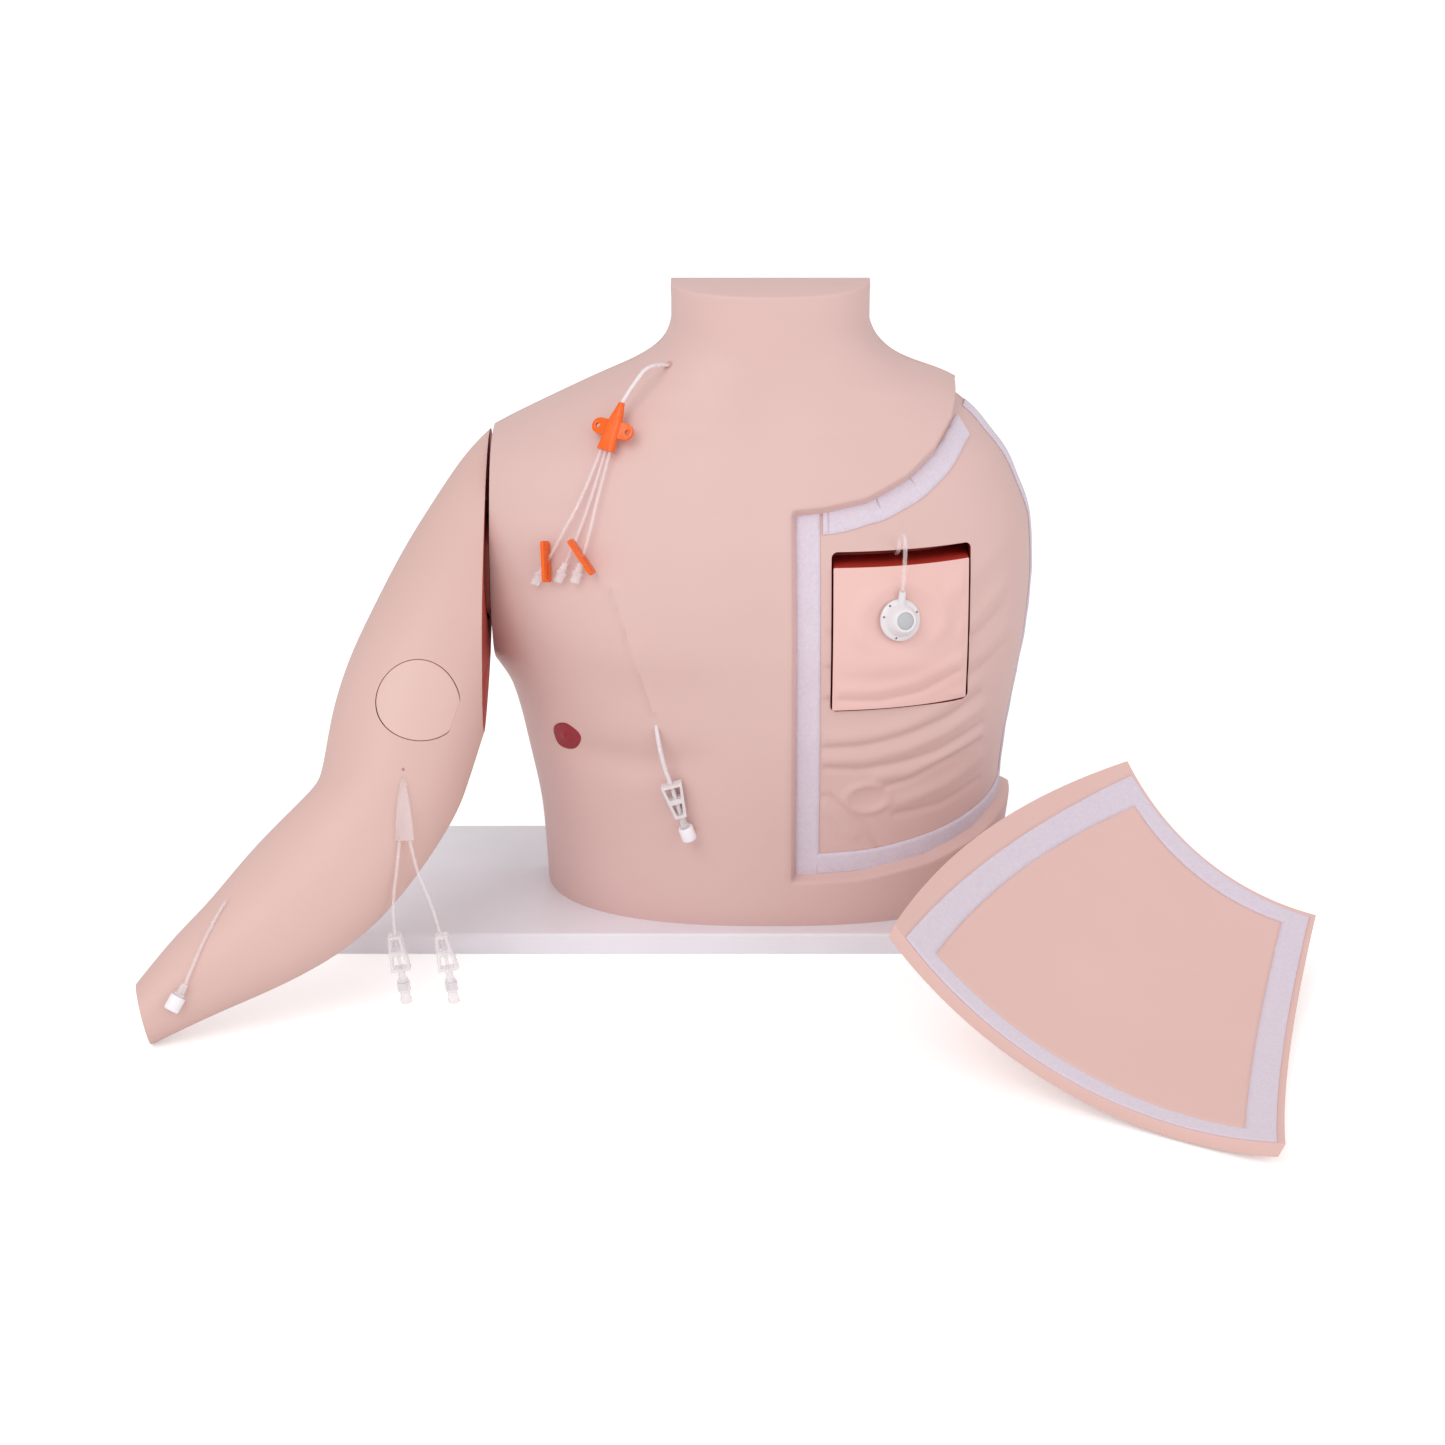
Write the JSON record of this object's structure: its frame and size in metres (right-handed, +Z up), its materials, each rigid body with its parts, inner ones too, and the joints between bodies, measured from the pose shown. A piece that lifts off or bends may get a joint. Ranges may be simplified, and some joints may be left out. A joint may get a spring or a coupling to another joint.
{
  "type": "central line trainer",
  "caption": "Half torso trainer on a board with a swinging right arm, a removable chest cover, an implanted port and taped-off recess, and central, tunnelled, arm and forearm lines.",
  "frame": {"origin": "on the underside of the base board, below the torso's mid line and in front of its flat back", "axes": "+Z up, +X along the board's length towards the trainer's left side, +Y towards its back"},
  "size_m": [0.7719, 0.4988, 0.439],
  "materials": {
    "skin": "soft matte vinyl",
    "arm_skin": "soft matte vinyl",
    "back_plastic": "matte",
    "tape": "hook and loop",
    "board_white": "smooth",
    "tray_red": "matte",
    "steel": "plain",
    "dark_rubber": "matte",
    "port_white": "smooth",
    "septum_grey": "soft",
    "orange": "smooth",
    "clear": "clear",
    "tube_white": "smooth",
    "cap_white": "smooth"
  },
  "bodies": {
    "torso": {"torso_shell": "skin", "back_panel": "back_plastic", "panel_screws": "steel", "base_board": "board_white", "board_screws": "steel", "port_tray": "tray_red", "port_insert": "skin", "port_body": "port_white", "port_septum": "septum_grey", "port_tube": "clear", "tape_sternum": "tape", "tape_neckline": "tape", "tape_hem": "tape", "tape_flank": "tape", "chest_cover": "skin", "cover_tape_neckline": "tape", "cover_tape_flank": "tape", "cover_tape_hem": "tape", "cover_tape_sternum": "tape", "line_tube": "tube_white", "line_hub": "orange", "line_lumen_1": "clear", "line_lumen_2": "clear", "line_lumen_3": "clear", "line_fittings": "clear", "line_clamp_1": "orange", "line_clamp_3": "orange", "tunnelled_tube": "tube_white", "tunnelled_clamp": "tube_white", "tunnelled_fitting": "clear"},
    "arm": {"right_arm": "arm_skin", "arm_pad": "arm_skin", "arm_plate": "steel", "shoulder_bolt": "steel", "friction_disc": "dark_rubber", "shoulder_washer": "steel", "wing_nut": "steel", "arm_line_tube": "clear", "arm_line_body": "clear", "arm_lumen_right": "clear", "arm_lumen_left": "clear", "arm_clamp_right": "clear", "arm_clamp_left": "clear", "arm_right_fitting": "clear", "arm_left_fitting": "clear", "forearm_tube": "clear", "forearm_fitting": "clear"},
    "tunnelled_cap": {"tunnelled_cap": "cap_white"},
    "arm_right_cap": {"arm_right_cap": "clear"},
    "arm_left_cap": {"arm_left_cap": "clear"},
    "forearm_cap": {"forearm_cap": "cap_white"}
  },
  "joints": [
    {"name": "shoulder_swing", "type": "hinge", "parent": "torso", "child": "arm", "pos_m": [-0.19, -0.028, 0.254], "axis": [-1, 0, 0], "range_deg": [0, 90]},
    {"name": "tunnelled_cap_turn", "type": "hinge", "parent": "torso", "child": "tunnelled_cap", "pos_m": [-0.0596, -0.095, 0.101], "axis": [0.3119, 0.078, -0.9469], "range_deg": [0, 180]},
    {"name": "arm_right_cap_turn", "type": "hinge", "parent": "arm", "child": "arm_right_cap", "pos_m": [-0.2396, -0.1904, 0.033], "axis": [0.1135, 0.0189, -0.9934], "range_deg": [0, 180]},
    {"name": "arm_left_cap_turn", "type": "hinge", "parent": "arm", "child": "arm_left_cap", "pos_m": [-0.2089, -0.1902, 0.033], "axis": [0.1216, 0.0097, -0.9925], "range_deg": [0, 180]},
    {"name": "forearm_cap_turn", "type": "hinge", "parent": "arm", "child": "forearm_cap", "pos_m": [-0.371, -0.2366, 0.0444], "axis": [-0.471, -0.3989, -0.7868], "range_deg": [0, 180]}
  ]
}
